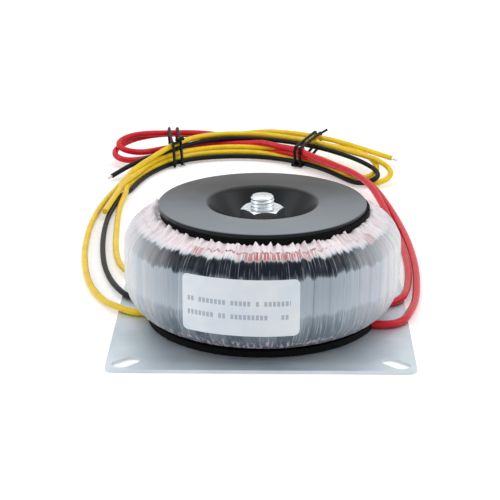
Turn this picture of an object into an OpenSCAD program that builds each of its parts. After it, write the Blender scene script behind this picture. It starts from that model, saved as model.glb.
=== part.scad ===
/* [Core] */
// Outer diameter of the strip-wound core
core_od = 82; // [76:0.5:86]
// Inner diameter of the core
core_id = 54; // [52:0.5:58]
// Height of the core
core_h = 22; // [18:0.5:28]

/* [Windings] */
// Insulation taped round the core
core_tape_t = 0.6; // [0.4:0.1:1]
// Build of the primary winding
primary_t = 2.2; // [1.6:0.1:3]
// Insulation between the two windings
interlayer_t = 0.4; // [0.3:0.1:0.8]
// Build of the secondary winding
secondary_t = 2.3; // [1.6:0.1:3]
// Clear polyester tape wrapped over everything
wrap_t = 0.8; // [0.6:0.1:1.2]
// Outer top shoulder, measured along the radius
shoulder_top_r = 13; // [10:0.5:15]
// Outer top shoulder, measured along the height
shoulder_top_h = 10; // [8:0.5:12]
// Outer bottom shoulder, measured along the radius
shoulder_low_r = 11; // [9:0.5:14]
// Outer bottom shoulder, measured along the height
shoulder_low_h = 15; // [11:0.5:17]
// Rounding of the wound body round its hole
hole_round = 5; // [4:0.5:7]

/* [Tape wraps] */
// Turns of tape round the ring
wraps = 52; // [44:1:56]
// Step where one turn of tape laps over the next
lap_step = 0.35; // [0.15:0.05:0.45]
// Height of the gathers on the shoulders
gather_h = 0.5; // [0.2:0.05:0.6]

/* [Base plate] */
// Side of the square steel plate
plate_w = 100; // [98:1:110]
// Thickness of its sheet
plate_t = 1; // [0.8:0.1:1.5]
// Rounding of its corners
plate_corner_r = 3; // [2:0.5:6]
// Distance from each edge of the plate to the middle of a corner slot
slot_inset = 6.5; // [6:0.5:8]
// Width of a corner slot
slot_w = 6; // [4.2:0.1:6.4]
// Whole length of a corner slot
slot_l = 10.5; // [8:0.5:11]
// How far the middle is pressed up to clear the bolt head
boss_rise = 9; // [6.5:0.5:9.5]
// Diameter of the flat top of the pressed boss
boss_top_d = 26; // [22:1:28]
// Diameter of the pressed boss where it leaves the plate
boss_foot_d = 36; // [34:1:38]

/* [Rubber pads] */
// Outer diameter of the lower pad
lower_pad_d = 79; // [72:1:84]
// Thickness of the lower pad
lower_pad_t = 2.3; // [1.5:0.1:3]
// How far the upper pad stands out past the rim of the dish
upper_pad_proud = 0.25; // [0:0.25:3]
// Thickness of the upper pad
upper_pad_t = 2.3; // [1.5:0.1:3]
// How far the upper pad has crept sideways
upper_pad_shift = 0.8; // [0:0.1:1]
// Hole through both pads
pad_hole_d = 46; // [44:1:48]

/* [Top dish] */
// Outer diameter of the pressed steel dish
dish_d = 70.5; // [68:0.5:74]
// Thickness of its sheet
dish_t = 1.5; // [1:0.1:1.8]
// Diameter of its recess at the brim
recess_d = 35; // [34:0.5:38]
// Diameter of the flat floor of the recess
recess_floor_d = 24; // [22:0.5:26]
// Depth of the recess
recess_depth = 8.4; // [7.5:0.1:11]
// Radius of the bend at the brim of the recess
brim_r = 2.5; // [2:0.5:3.5]

/* [Bolt and nut] */
// Thread diameter of the bolt
bolt_d = 8; // [6:1:8]
// Length of the bolt under its head
bolt_l = 35; // [33:1:38]
// Across the flats of bolt head and nut
hex_af = 13; // [12:0.5:14]
// Height of the bolt head
head_h = 5.3; // [4:0.1:5.5]
// Height of the nut
nut_h = 6.5; // [5:0.1:7]
// Chamfer on the corners of head and nut
hex_chamfer = 0.9; // [0.4:0.1:1.2]
// Turn of the nut about the bolt
nut_turn = 8; // [0:1:59]
// Play of the bolt in the holes of plate and dish, on the radius
bolt_play = 0.3; // [0.2:0.1:0.6]

/* [Label] */
// Length of the label round the side
label_w = 39; // [30:1:42]
// Height of the label
label_h = 19; // [14:0.5:20]
// Thickness of the label
label_t = 0.15; // [0.1:0.05:0.3]
// Direction of the middle of the label, turned from the front
label_turn = -8.5; // [-40:0.5:40]
// Height of the middle of the label above the foot of the plate
label_z = 21; // [20.5:0.5:22]

/* [Leads] */
// Diameter of the yellow leads
yellow_d = 2.4; // [2:0.1:2.4]
// Diameter of the black lead
black_d = 2.1; // [1.8:0.1:2.1]
// Diameter of the red leads
red_d = 2.7; // [2.2:0.1:2.7]

/* [Hidden] */
$fn = 96;

// Heights, from the surface the plate lies on
boss_seat_z = boss_rise;
wound_foot_z = plate_t + lower_pad_t;
build_t = core_tape_t + primary_t + interlayer_t + secondary_t + wrap_t;
wound_h = core_h + 2 * build_t;
wound_top_z = wound_foot_z + wound_h;
dish_foot_z = wound_top_z + upper_pad_t;
dish_top_z = dish_foot_z + dish_t;
recess_floor_z = dish_top_z - recess_depth;
bolt_end_z = boss_seat_z + bolt_l;

// Radii of the wound body
wound_r = core_od / 2 + build_t;
hole_r = core_id / 2 - build_t;
core_corner_r = 1;
upper_pad_d = dish_d + 2 * upper_pad_proud;

// Distance from the middle to a corner slot, along each side of the plate
slot_pitch = plate_w / 2 - slot_inset;

// Depth of each layer as a share of the whole build
insulation_share = core_tape_t / build_t;
primary_share = (core_tape_t + primary_t) / build_t;
interlayer_share = (core_tape_t + primary_t + interlayer_t) / build_t;
secondary_share = (build_t - wrap_t) / build_t;

// Routes of the leads, from the rim of the lower pad to the tied hank
yellow_a_route = [
    [-38.5, -3, 2.3], [-43, -2.5, 2.3], [-47, -0.5, 2.3], [-51, 3.5, 2.3], [-55, 9, 1.3],
    [-61, 22, 1.3], [-66, 41, 1.3], [-69.5, 64, 1.3], [-72, 90, 1.3], [-72.5, 112, 1.3],
    [-71.5, 130, 1.7], [-68, 147, 3.2], [-62, 162, 5.5], [-57, 172, 7.2]];
yellow_b_route = [
    [-31.5, 22.5, 2.3], [-36, 25.5, 2.3], [-40.5, 29, 2.3], [-46, 33.5, 2.3], [-51, 40, 2.3],
    [-54.5, 52, 1.3], [-57, 68, 1.3], [-58.5, 85, 1.3], [-59.5, 102, 1.3], [-60, 120, 1.3],
    [-59, 138, 1.3], [-56, 152, 1.4], [-51.5, 167, 2.2], [-50, 172, 2.5]];
black_route = [
    [-37.5, 8.8, 2.2], [-42, 10, 2.2], [-45.5, 12, 2.2], [-49, 16, 2.2], [-52.5, 23, 1.9],
    [-56.5, 36, 1.1], [-60, 52, 1.1], [-63.5, 74, 1.1], [-65.5, 94, 1.1], [-65.5, 110, 1.1],
    [-63.5, 128, 1.1], [-60, 145, 1.1], [-56, 160, 1.2], [-53, 172, 2.1]];
red_a_route = [
    [36.5, -12.3, 2.4], [41.5, -12.8, 2.4], [45.5, -11.5, 2.4], [49, -7, 2.4], [51.5, 0.5, 2.4],
    [54, 13, 1.4], [55.5, 28, 1.4], [56.5, 45, 1.4], [56.5, 64, 1.4], [55.5, 84, 1.4],
    [53.5, 104, 1.5], [50.5, 122, 2.7], [46, 140, 4.6], [41.5, 159, 5.4]];
red_b_route = [
    [38, 6.4, 2.4], [43.5, 7.5, 2.4], [47.5, 10.5, 2.4], [50.5, 17, 2.4], [52.5, 29, 1.4],
    [53.7, 46, 1.4], [53.6, 64, 1.4], [52.6, 83, 1.4], [50.6, 102, 1.5], [47.5, 120, 2.7],
    [43, 137, 4.6], [37.5, 154, 5.4], [37.5, 164, 5.4]];

// Free ends that stand out of the hank
yellow_a_end = [[-57, 172, 3.6], [-61, 154, 3.5], [-63.5, 136, 3.4], [-64.5, 118, 3.4]];
yellow_b_end = [[41, 187, 9], [46, 183, 8.6], [51, 179.5, 8], [55.5, 176.5, 7.2]];
black_end = [[-58, 182, 4.6], [-62, 174, 3.6], [-66.5, 165, 2.4]];

// Outline of the tied hank with the loops at its ends, and where its ties sit
hank_outline = [
    [-50, 170], [-46.5, 186.5], [-37.5, 194], [-31, 197], [-19, 200], [-5, 199.5], [6, 195.5],
    [13, 190.5], [22.5, 182.5], [27, 176.5], [33, 167.5], [40, 157.5], [46, 152], [52, 153.5],
    [56, 158], [56, 164], [53, 169.5], [48.5, 178], [41.5, 188], [34, 197], [25, 204.5],
    [17.5, 210], [-2, 217.5], [-19.5, 218.5], [-37, 214.5], [-49.5, 208.5], [-58.5, 206],
    [-64.5, 201.5], [-68.5, 194], [-66.5, 186.5], [-61, 183.5], [-60, 170]];
hank_h = 10.3;
tie_t = 0.8;
tie_w = 3.8;
tie_tail_d = 2;
tie_tail_l = 9;
tie_reach = 20.5;
tie_left_at = [-41.5, 189.7, 0];
tie_left_heading = 40;
tie_right_at = [17.2, 186, 0];
tie_right_heading = -40;

hex_corner_d = hex_af / cos(30);
bolt_hole_r = bolt_d / 2 + bolt_play;

// ---- outlines ----

// Points along a quarter or more of an ellipse, in the radius-height plane
function arc_points(cx, cy, rx, ry, from, to, steps) =
    [for (i = [0 : steps]) let (a = from + (to - from) * i / steps) [cx + rx * cos(a), cy + ry * sin(a)]];

// Outline of a ring with four rounded corners, outer bottom corner first
function ring_points(inner, outer, foot, top, low_r, low_h, top_r, top_h, round) = concat(
    arc_points(outer - low_r, foot + low_h, low_r, low_h, -90, 0, 6),
    arc_points(outer - top_r, top - top_h, top_r, top_h, 0, 90, 7),
    arc_points(inner + round, top - round, round, round, 90, 180, 3),
    arc_points(inner + round, foot + round, round, round, 180, 270, 3));

core_points = ring_points(core_id / 2, core_od / 2, wound_foot_z + build_t, wound_top_z - build_t,
    core_corner_r, core_corner_r, core_corner_r, core_corner_r, core_corner_r);
wound_points = ring_points(hole_r, wound_r, wound_foot_z, wound_top_z,
    shoulder_low_r, shoulder_low_h, shoulder_top_r, shoulder_top_h, hole_round);

// Outline of the layer that ends at a given share of the build
function layer_points(share) = core_points + (wound_points - core_points) * share;

// Rounded square
module rounded_square(w, h, r) {
    translate([r - w / 2, r - h / 2]) square([w - 2 * r, h - 2 * r]);
    translate([r - w / 2, -h / 2]) square([w - 2 * r, h]);
    translate([-w / 2, r - h / 2]) square([w, h - 2 * r]);
    for (x = [-1, 1], y = [-1, 1]) translate([x * (w / 2 - r), y * (h / 2 - r)]) circle(r, $fn = 48);
}

// Slot with round ends, along X
module slot_shape(l, w) {
    square([l - w, w], center = true);
    for (side = [-1, 1]) translate([side * (l - w) / 2, 0]) circle(w / 2, $fn = 48);
}

// ---- steel parts ----

// Square mounting plate, pressed up in the middle to make room for the bolt head
module base_plate() color("silver") {
    foot = boss_foot_d / 2;
    top = boss_top_d / 2;
    linear_extrude(plate_t) difference() {
        rounded_square(plate_w, plate_w, plate_corner_r);
        circle(foot - plate_t);
        for (turn = [45 : 90 : 315]) rotate(turn)
            translate([slot_pitch * sqrt(2), 0]) slot_shape(slot_l, slot_w);
    }
    rotate_extrude() polygon([
        [foot, 0], [foot, plate_t], [top, boss_seat_z + plate_t],
        [bolt_hole_r, boss_seat_z + plate_t], [bolt_hole_r, boss_seat_z],
        [top - plate_t / 2, boss_seat_z], [foot - plate_t, 0]]);
}

// Hexagon with its corners turned down by a cone at one or both ends
module chamfered_hex(h, top_chamfer, bottom_chamfer) intersection() {
    cylinder(d = hex_corner_d, h = h, $fn = 6);
    union() {
        slope = 0.55;
        low = bottom_chamfer * hex_chamfer * slope;
        high = h - top_chamfer * hex_chamfer * slope;
        rotate_extrude() polygon([
            [0, 0], [hex_corner_d / 2 - bottom_chamfer * hex_chamfer, 0], [hex_corner_d / 2, low],
            [hex_corner_d / 2, high], [hex_corner_d / 2 - top_chamfer * hex_chamfer, h], [0, h]]);
    }
}

// Bolt, head down, up through plate, ring and dish
module hex_bolt() color("gainsboro") {
    end_chamfer = 0.5;
    translate([0, 0, boss_seat_z - head_h]) chamfered_hex(head_h, 0, 1);
    translate([0, 0, boss_seat_z]) cylinder(d = bolt_d, h = bolt_l - end_chamfer);
    translate([0, 0, bolt_end_z - end_chamfer])
        cylinder(r1 = bolt_d / 2, r2 = bolt_d / 2 - end_chamfer, h = end_chamfer);
}

// Nut, standing on the floor of the dish
module hex_nut() color("gainsboro") translate([0, 0, recess_floor_z]) rotate(nut_turn) difference() {
    chamfered_hex(nut_h, 1, 1);
    translate([0, 0, -1]) cylinder(d = bolt_d, h = nut_h + 2);
}

// Pressed dish: flat rim, soft brim, sloping wall and flat floor, one sheet thick
module top_dish() color("dimgray") {
    edge = 0.4;
    brim = recess_d / 2;
    floor_r = recess_floor_d / 2;
    slope = atan2(recess_depth - brim_r, brim - brim_r * 0.35 - floor_r);
    rotate_extrude() polygon(concat(
        [[bolt_hole_r, recess_floor_z], [floor_r, recess_floor_z]],
        arc_points(brim + brim_r, dish_top_z - brim_r, brim_r, brim_r, 90 + slope, 90, 5),
        [[dish_d / 2 - edge, dish_top_z], [dish_d / 2, dish_top_z - edge], [dish_d / 2, dish_foot_z]],
        [[brim + brim_r, dish_foot_z]],
        [[brim + dish_t * 0.55, dish_foot_z - dish_t], [floor_r + dish_t * 0.55, recess_floor_z - dish_t]],
        [[bolt_hole_r, recess_floor_z - dish_t]]));
}

// ---- rubber pads ----

module pad(d, t) difference() {
    cylinder(d = d, h = t);
    translate([0, 0, -1]) cylinder(d = pad_hole_d, h = t + 2);
}

module lower_pad() color("black") translate([0, 0, plate_t]) pad(lower_pad_d, lower_pad_t);

module upper_pad() color("black")
    translate([upper_pad_shift, 0, wound_top_z]) pad(upper_pad_d, upper_pad_t);

// ---- core and windings ----

// Closed ring between two shares of the build
module layer(inner_share, outer_share) rotate_extrude() difference() {
    polygon(layer_points(outer_share));
    polygon(layer_points(inner_share));
}

module core() color("slategray") rotate_extrude() polygon(core_points);

module core_insulation() color("white") layer(0, insulation_share);

module primary_winding() color("sienna") layer(insulation_share, primary_share);

module interlayer_insulation() color("ivory") layer(primary_share, interlayer_share);

module secondary_winding() color("peru") layer(interlayer_share, secondary_share);

// ---- tape wraps ----

// Four stations for each turn of tape: just before its edge, on it, and along its width
lap_places = [0, 0.08, 0.4, 0.75];
lap_heights = [0, 1, 0.6, 0.25];
wrap_count = round(wraps);
stations = len(lap_places) * wrap_count;

// Repeatable scatter from 0 to 1
function scatter(k) = let (s = sin(k * 78.233) * 437.585) s - floor(s);

// How much of the lap shows at each point of the outline: all of it on the side, none under the pads
function lap_share(i) = i <= 6 ? sin(15 * i) : i <= 14 ? cos(90 * (i - 7) / 7) : 0;

// How much of the gathers shows: most on the top shoulder, less on the bottom one
function gather_share(i) = i <= 6 ? 0.45 * sin(30 * i) : i <= 14 ? sin(180 * (i - 7) / 7) : 0;

// Outward direction at point i of the wound outline
function wound_normal(i) = let (
        count = len(wound_points),
        d = wound_points[(i + 1) % count] - wound_points[(i + count - 1) % count])
    [d.y, -d.x] / norm(d);

// Distance that the tape stands off the smooth outline
function tape_lift(station, i) = let (phase = station % len(lap_places))
    lap_step * lap_heights[phase] * lap_share(i)
    + gather_h * gather_share(i) * (station % 2) * (0.35 + 0.65 * scatter(station + 3 * floor(i / 2)));

function tape_point(station, i) = let (
        turn = 360 * (floor(station / len(lap_places)) + lap_places[station % len(lap_places)]) / wrap_count,
        p = wound_points[i] + wound_normal(i) * tape_lift(station, i))
    [p.x * cos(turn), p.x * sin(turn), p.y];

// Clear tape, lapped turn over turn and gathered where it runs in over the shoulders
module outer_wrap() color("lightsteelblue") difference() {
    count = len(wound_points);
    polyhedron(
        points = [for (s = [0 : stations - 1], i = [0 : count - 1]) tape_point(s, i)],
        faces = [for (s = [0 : stations - 1], i = [0 : count - 1]) let (
                a = s * count + i,
                b = s * count + (i + 1) % count,
                c = ((s + 1) % stations) * count + (i + 1) % count,
                d = ((s + 1) % stations) * count + i)
            each [[a, b, c], [a, c, d]]]);
    rotate_extrude() polygon(layer_points(secondary_share));
}

// ---- label ----

// Paper label bent round the side, on the highest laps
module label() color("white") {
    stuck_r = wound_r + lap_step;
    half = label_w / 2 * 180 / PI / stuck_r;
    rotate(label_turn - 90 - half) rotate_extrude(angle = 2 * half)
        translate([stuck_r, label_z - label_h / 2]) square([label_t, label_h]);
}

// ---- leads ----

// Points of one ring of a tube, square to the route at point i
function ring_at(route, i, d, sides) = let (
        before = route[max(i - 1, 0)],
        after = route[min(i + 1, len(route) - 1)],
        along = (after - before) / norm(after - before),
        side = cross(along, [0, 0, 1]) / norm(cross(along, [0, 0, 1])),
        up = cross(side, along))
    [for (k = [0 : sides - 1]) let (a = 360 * (k + 0.5) / sides)
        route[i] + d / 2 * (side * cos(a) + up * sin(a))];

// Tube swept along a route, closed at both ends
module tube(route, d, sides = 8) {
    rings = len(route);
    polyhedron(
        points = [for (i = [0 : rings - 1]) each ring_at(route, i, d, sides)],
        faces = concat(
            [[for (k = [0 : sides - 1]) k]],
            [for (i = [0 : rings - 2], k = [0 : sides - 1]) let (
                    a = i * sides + k,
                    b = i * sides + (k + 1) % sides)
                each [[a, a + sides, b + sides], [a, b + sides, b]]],
            [[for (k = [sides - 1 : -1 : 0]) (rings - 1) * sides + k]]));
}

// A lead is cut off flush with the rim of the lower pad and the side of the hank
module lead(route, d) difference() {
    tube(route, d);
    cylinder(d = lower_pad_d, h = dish_top_z);
    lead_hank();
}

module lead_yellow_a() color("gold") {
    lead(yellow_a_route, yellow_d);
    lead(yellow_a_end, yellow_d);
}

module lead_yellow_b() color("gold") {
    lead(yellow_b_route, yellow_d);
    lead(yellow_b_end, yellow_d);
}

module lead_black() color("black") {
    lead(black_route, black_d);
    lead(black_end, black_d);
}

module lead_red_a() color("crimson") lead(red_a_route, red_d);

module lead_red_b() color("crimson") lead(red_b_route, red_d);

// Outer shape of the tied hank, which lies on its ties
module lead_hank() color("goldenrod")
    translate([0, 0, tie_t]) linear_extrude(hank_h) polygon(hank_outline);

// Bared and tinned strands at the free ends
module lead_tips() color("silver")
    for (route = [yellow_b_end, black_end]) {
        last = route[len(route) - 1];
        along = last - route[len(route) - 2];
        translate(last) rotate([0, acos(along.z / norm(along)), atan2(along.y, along.x)])
            cylinder(d = 1.1, h = 3, $fn = 24);
    }

// Band of two turns round the hank, with its ends twisted together on top
module twist_tie(at, heading, tail_turn) color("black") {
    difference() {
        translate(at) rotate(heading) difference() {
            translate([-tie_w / 2, 0, 0]) cube([tie_w, tie_reach, hank_h + 2 * tie_t]);
            for (y = [-1, tie_reach - 0.4])
                translate([-0.25, y, -1]) cube([0.5, 1.4, hank_h + 4]);
        }
        lead_hank();
    }
    translate(at + [0, 0, hank_h + 2 * tie_t]) rotate(heading)
        translate([0, tie_reach / 2, tie_tail_d / 2 - 0.3]) rotate([0, 90, tail_turn])
            cylinder(d = tie_tail_d, h = tie_tail_l);
}

module twist_tie_left() twist_tie(tie_left_at, tie_left_heading, -60);

module twist_tie_right() twist_tie(tie_right_at, tie_right_heading, 80);

base_plate();
hex_bolt();
lower_pad();
core();
core_insulation();
primary_winding();
interlayer_insulation();
secondary_winding();
outer_wrap();
label();
upper_pad();
top_dish();
hex_nut();
lead_yellow_a();
lead_yellow_b();
lead_black();
lead_red_a();
lead_red_b();
lead_hank();
lead_tips();
twist_tie_left();
twist_tie_right();
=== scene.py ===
import math

import bmesh
import bpy
import numpy as np
from mathutils import Matrix, Vector, noise


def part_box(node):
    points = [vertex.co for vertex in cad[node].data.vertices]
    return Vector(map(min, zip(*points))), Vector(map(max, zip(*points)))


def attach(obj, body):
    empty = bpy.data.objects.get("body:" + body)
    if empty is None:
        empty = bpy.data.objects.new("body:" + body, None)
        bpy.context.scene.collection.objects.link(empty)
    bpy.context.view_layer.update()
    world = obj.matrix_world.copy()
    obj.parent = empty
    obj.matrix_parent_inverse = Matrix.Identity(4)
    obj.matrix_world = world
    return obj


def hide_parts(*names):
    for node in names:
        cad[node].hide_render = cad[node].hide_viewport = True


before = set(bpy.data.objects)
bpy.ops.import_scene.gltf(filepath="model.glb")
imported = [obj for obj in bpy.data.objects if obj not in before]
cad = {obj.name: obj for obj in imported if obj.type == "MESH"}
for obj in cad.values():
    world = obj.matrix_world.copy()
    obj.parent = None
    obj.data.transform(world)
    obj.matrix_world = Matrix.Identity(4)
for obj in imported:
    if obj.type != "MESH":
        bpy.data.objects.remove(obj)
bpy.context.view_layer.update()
print("frame loaded:", len(cad), "nodes")


def linear(hexColour):
    # sRGB hex to the linear values that Blender mixes in
    channels = [int(hexColour[i:i + 2], 16) / 255 for i in (1, 3, 5)]
    return [c / 12.92 if c <= 0.04045 else ((c + 0.055) / 1.055) ** 2.4 for c in channels] + [1]


def addNode(tree, kind, settings=None, links=None):
    # a link is a socket, a node whose first live output is meant, a number or a hex colour;
    # "stops" are the places and colours of a colour ramp
    node = tree.nodes.new("ShaderNode" + kind)
    for key, value in (settings or {}).items():
        if key == "stops":
            ramp = node.color_ramp
            while len(ramp.elements) > 1:
                ramp.elements.remove(ramp.elements[-1])
            for i, (place, colour) in enumerate(value):
                element = ramp.elements[0] if i == 0 else ramp.elements.new(place)
                element.position = place
                element.color = linear(colour) if isinstance(colour, str) else [colour] * 3 + [1]
        elif isinstance(key, int) or key in node.inputs:
            node.inputs[key].default_value = value
        else:
            setattr(node, key, value)
    for key, source in (links or {}).items():
        if isinstance(source, (int, float)):
            node.inputs[key].default_value = source
        elif isinstance(source, str):
            node.inputs[key].default_value = linear(source)
        else:
            if isinstance(source, bpy.types.Node):
                source = next(output for output in source.outputs if output.enabled)
            tree.links.new(source, node.inputs[key])
    return node


def newMaterial(name, settings):
    material = bpy.data.materials.new(name)
    material.use_nodes = True
    tree = material.node_tree
    tree.nodes.clear()
    shader = addNode(tree, "BsdfPrincipled", settings)
    addNode(tree, "OutputMaterial", links={"Surface": shader.outputs[0]})
    return material, tree, shader


def newPiece(name, bm, material):
    # a finished bmesh becomes an object at the origin that rides with the body
    mesh = bpy.data.meshes.new(name)
    bm.to_mesh(mesh)
    bm.free()
    mesh.materials.append(material)
    piece = bpy.data.objects.new(name, mesh)
    bpy.context.scene.collection.objects.link(piece)
    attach(piece, "root")
    return piece


camera = {"place": (0.0048, -0.5515, 0.2135), "lookDown": 0.33027, "turn": 0.01637, "lens": 122.85}

cameraData = bpy.data.cameras.new("camera")
cameraData.lens = camera["lens"]
cameraData.sensor_width = 36
cameraData.clip_start = 0.01
cameraObject = bpy.data.objects.new("camera", cameraData)
cameraObject.location = camera["place"]
cameraObject.rotation_euler = (math.pi / 2 - camera["lookDown"], 0, camera["turn"])
bpy.context.scene.collection.objects.link(cameraObject)
bpy.context.scene.camera = cameraObject

# five leads of PVC-covered wire, in millimetres: out from under the ring, back over the table, into a tied hank
leads = {
    "leadYellowOuter": {"diameter": 2.4, "length": 0.55, "nodes": ["lead_yellow_a", "lead_hank"], "points": [
        (-38.5, -3, 2.3), (-43, -2.5, 2.3), (-47, -0.5, 2.3), (-51, 3.5, 2.3), (-55, 9, 1.3), (-61, 22, 1.3),
        (-65.5, 41, 1.3), (-68.5, 64, 1.3), (-69.6, 86, 1.3), (-69.6, 99, 1.3), (-68.8, 114, 1.3),
        (-67.3, 128, 1.3), (-64.8, 141, 1.6), (-61.6, 152, 2.6), (-58, 162, 4), (-53.1, 173.3, 5.8),
        (-49.2, 180.5, 7), (-44.5, 187.5, 8.2), (-40, 194.5, 8.8), (-34, 203, 9), (-22, 210.5, 8.8),
        (-3, 211.5, 8.5), (12, 205, 8.5), (26, 195, 8.5), (36, 184, 8.5), (44.5, 175.5, 8.2), (51.5, 170.5, 7),
        (56, 164, 5.2), (54.8, 156.8, 3.6), (49.2, 153.6, 2.2), (43, 157, 1.7), (38, 164.5, 2.2), (30, 178, 4),
        (21.5, 188.5, 4.5), (9.5, 198, 4.5), (-4, 203.5, 4.5), (-19.5, 204, 4.5), (-31, 199.5, 4.5),
        (-39.8, 194.2, 4.5), (-43.8, 190.5, 4.4), (-48.4, 184, 4.2), (-52.7, 174.8, 3.9), (-56.3, 164, 3.7),
        (-59.2, 153, 3.5), (-61.6, 139, 3.4), (-63.6, 123, 3.4), (-65, 108.5, 3.4)]},
    "leadYellowInner": {"diameter": 2.4, "length": 0.5, "nodes": ["lead_yellow_b"], "points": [
        (-31.5, 22.5, 2.3), (-36, 25.5, 2.3), (-40.5, 29, 2.3), (-46, 33.5, 2.3), (-51, 40, 2.3),
        (-54.5, 52, 1.3), (-57, 68, 1.3), (-58.4, 86, 1.3), (-59.5, 104, 1.3), (-60.2, 123, 1.3),
        (-59.8, 139, 1.3), (-58, 154, 1.3), (-55.2, 166, 1.4), (-51.4, 176, 1.8), (-47, 183.5, 2.3),
        (-41.5, 190, 2.8), (-33, 196.5, 3), (-19, 200.5, 3), (-4.5, 200.5, 3), (8, 196, 3), (20, 187.5, 3),
        (28, 177.5, 2.7), (35.5, 166.5, 1.7), (42, 161.5, 1.6), (48.5, 163.5, 3), (50.3, 170.5, 5.6),
        (45.5, 179.5, 7.6), (37.5, 189.5, 7.6), (27.5, 199.5, 6.6), (13.5, 209, 6.2), (-2.5, 214, 5.4),
        (-12, 214.6, 4), (-20, 213.2, 2.4), (-27, 212, 1.4), (-33.6, 214.4, 1.4), (-36.6, 220.2, 1.5),
        (-33.2, 225.8, 1.7), (-26.4, 227, 2.4), (-18.4, 224.6, 4), (-9.4, 220.8, 6.4), (0, 215.5, 8.9),
        (15, 209.8, 9.2), (29.5, 199.8, 9.2), (39.5, 189.5, 9), (46, 183.5, 8.4), (55.3, 176.5, 7.2)]},
    "leadBlack": {"diameter": 2.1, "length": 0.46, "nodes": ["lead_black"], "points": [
        (-37.5, 8.8, 2.2), (-42, 10, 2.2), (-45.5, 12, 2.2), (-49, 16, 2.2), (-52.5, 23, 1.9), (-56.5, 36, 1.1),
        (-60, 52, 1.1), (-62.6, 74, 1.1), (-63.7, 94, 1.1), (-63.7, 112, 1.1), (-62, 128, 1.1),
        (-59.2, 145, 1.1), (-55.6, 160, 1.2), (-51.3, 172, 1.2), (-42.5, 186.5, 1.5), (-33, 193.5, 1.8),
        (-19, 197.5, 1.8), (-5, 197.5, 1.8), (7, 193.5, 1.8), (18.5, 185, 1.8), (27, 175.5, 1.8),
        (32.4, 168.4, 1.3), (35.6, 161.6, 1.1), (39.4, 155.6, 1.1), (45.4, 152.8, 1.8), (50, 156, 3),
        (50, 162.4, 4.4), (46, 169.4, 5.6), (40, 177, 6.6), (33, 184.5, 7), (24.5, 193, 7.2),
        (11.5, 202.5, 7.2), (-3, 208, 7.2), (-20, 208, 7.2), (-33, 201.5, 7), (-42, 191.5, 6.6),
        (-47, 186, 6.2), (-52, 182, 5.6), (-56.6, 177.6, 5), (-60.7, 172.6, 4.2), (-64.4, 168, 3),
        (-67.2, 164.5, 2)]},
    "leadRedFront": {"diameter": 2.7, "length": 0.42, "nodes": ["lead_red_a"], "points": [
        (36.5, -12.3, 2.4), (41.5, -12.8, 2.4), (45.5, -11.5, 2.4), (49, -7, 2.4), (51.5, 0.5, 2.4),
        (54, 13, 1.4), (55.5, 28, 1.4), (56.5, 45, 1.4), (56.5, 64, 1.4), (55.5, 84, 1.4), (53.5, 104, 1.5),
        (50.5, 122, 2.7), (46, 140, 4.6), (40, 156, 5.2), (32, 168, 5.2), (23, 179, 5.4), (14.5, 189, 5.2),
        (5, 199, 3.4), (-7, 206, 2.4), (-20, 208, 2.2), (-33, 206.5, 2.2), (-43, 201.5, 2.4), (-50, 194.5, 2.6),
        (-55, 188, 2.8), (-60, 183.6, 3), (-65.2, 182.2, 3.6), (-69.4, 186.6, 4.6), (-69.6, 193.6, 5.6),
        (-66, 200, 7), (-60, 204.4, 8.6), (-48, 207, 9.8), (-38, 209.5, 9.4), (-30, 212, 7.4), (-20, 213, 4.6),
        (-8, 212.5, 3.4), (6, 209, 3.2), (17, 203.5, 3.2)]},
    "leadRedRear": {"diameter": 2.7, "length": 0.35, "nodes": ["lead_red_b"], "points": [
        (38, 6.4, 2.4), (43.5, 7.5, 2.4), (47.5, 10.5, 2.4), (50.5, 17, 2.4), (52.5, 29, 1.4), (53.7, 46, 1.4),
        (53.6, 64, 1.4), (52.6, 83, 1.4), (50.8, 102, 1.6), (48.2, 120, 3.6), (44.3, 138, 6.2),
        (38.3, 154, 6.8), (30.3, 166, 6.8), (21.5, 177.5, 7.2), (14, 189, 7), (5, 198.5, 6.2), (-5, 205, 5.6),
        (-19.5, 208.3, 5), (-33, 207, 4.6), (-43.5, 202, 4.6), (-50.4, 195.6, 4.8), (-55.4, 190.4, 5),
        (-61.2, 187.2, 6), (-66.6, 188, 7.4), (-69, 193.8, 8.6), (-66, 199.8, 9.8), (-60, 202.8, 10.6),
        (-53.4, 204, 10.8), (-45, 205.5, 10.3), (-35, 208.6, 9.8), (-25, 212.4, 7.6), (-14, 213.8, 5)]},
}
plateHalf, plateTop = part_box("base_plate")[1].x * 1000, 1.0
sampleStep = 2.2  # mm between the points of a lead
settling = {
    "rounds": 180, "gap": 0.04, "lift": 0.05,  # mm left between strands, and under them
    "heldPoints": 8,  # points at the start that stay in their place under the ring
    "push": 1.2, "smooth": 0.2, "home": 0.02, "open": 1.6,  # how much of each correction a round makes
    "bend": 5.2,  # least bend, in wire radii
}


def smoothRoute(points, step):
    # Catmull-Rom through the route, then evenly spaced points
    p = [np.array(q, float) for q in points]
    p = [2 * p[0] - p[1]] + p + [2 * p[-1] - p[-2]]
    dense = []
    for a, b, c, d in zip(p, p[1:], p[2:], p[3:]):
        for t in np.linspace(0, 1, 12, endpoint=False):
            square, cube = 2 * a - 5 * b + 4 * c - d, 3 * b - a - 3 * c + d
            dense.append(0.5 * (2 * b + (c - a) * t + square * t ** 2 + cube * t ** 3))
    dense = np.array(dense + [p[-2]])
    run = np.concatenate([[0], np.cumsum(np.linalg.norm(np.diff(dense, axis=0), axis=1))])
    count = int(round(run[-1] / step)) + 1
    even = np.linspace(0, run[-1], count)
    return np.stack([np.interp(even, run, dense[:, k]) for k in range(3)], axis=1)


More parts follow.
